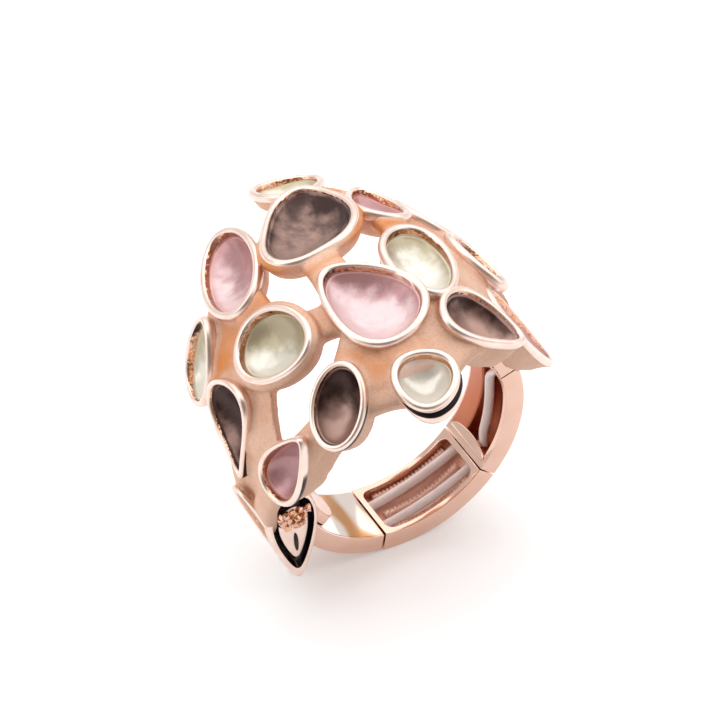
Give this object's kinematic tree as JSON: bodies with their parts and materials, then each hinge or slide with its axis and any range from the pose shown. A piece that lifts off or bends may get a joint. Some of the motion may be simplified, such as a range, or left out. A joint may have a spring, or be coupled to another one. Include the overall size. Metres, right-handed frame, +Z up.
{
  "type": "cocktail ring",
  "caption": "Stretch cocktail ring: an openwork rose-gold dome of organic cups filled with brown, pink and cream pearly enamel, on a segmented band strung on clear elastic cords.",
  "frame": {"origin": "centre of the finger hole, midway across the band's width", "axes": "+Y along the finger, away from the viewer of the picture; +Z up, with the ring leaning as it rests on its band and on the left tip of its head; +X to the right, the head's high side being to the left"},
  "size_m": [0.0264, 0.029, 0.0264],
  "materials": {
    "rose_gold": "rose-gold plating, polished on the rims and the band and satin on the cup walls and webs",
    "brown_enamel": "pearly epoxy enamel, dark brown with a fine brushed sparkle",
    "pink_enamel": "pearly epoxy enamel, mauve pink",
    "cream_enamel": "pearly epoxy enamel, ivory",
    "clear_elastic": "translucent stretch cord, satin"
  },
  "bodies": {
    "head": {"head_casting": "rose_gold", "enamel_brown_crown": "brown_enamel", "enamel_pink_rear_left": "pink_enamel", "enamel_cream_left": "cream_enamel", "enamel_pink_centre": "pink_enamel", "enamel_cream_right": "cream_enamel", "enamel_brown_right_front": "brown_enamel", "enamel_cream_front": "cream_enamel", "enamel_brown_left_front": "brown_enamel", "enamel_pink_lower_left_front": "pink_enamel", "enamel_brown_lower_left": "brown_enamel", "enamel_cream_lower_left_rear": "cream_enamel", "enamel_cream_rear": "cream_enamel", "enamel_pink_right_rear": "pink_enamel", "enamel_brown_lower_right_rear": "brown_enamel", "enamel_cream_lower_right": "cream_enamel", "enamel_pink_right_tip": "pink_enamel", "enamel_cream_left_tip": "cream_enamel", "enamel_pink_left_side": "pink_enamel", "elastic_cord_front": "clear_elastic", "elastic_cord_rear": "clear_elastic"},
    "bottom_link": {"link_bottom": "rose_gold"},
    "right_link": {"link_right": "rose_gold"},
    "left_link": {"link_left": "rose_gold"}
  },
  "joints": [
    {"name": "band_stretch", "type": "slide", "parent": "head", "child": "bottom_link", "axis": [0.4672, 0, -0.8841], "range_m": [0, 0.003], "stiffness_N_per_m": 800, "deforming": ["elastic_cord_front", "elastic_cord_rear"]},
    {"name": "right_link_shift", "type": "slide", "parent": "head", "child": "right_link", "axis": [0.6503, 0, -0.7597], "range_m": [0, 0.00273]},
    {"name": "left_link_shift", "type": "slide", "parent": "head", "child": "left_link", "axis": [0.2612, 0, -0.9653], "range_m": [0, 0.00273]}
  ],
  "couplings": [
    {"joint": "right_link_shift", "follows": "band_stretch", "ratio": 0.90894},
    {"joint": "left_link_shift", "follows": "band_stretch", "ratio": 0.90894}
  ]
}
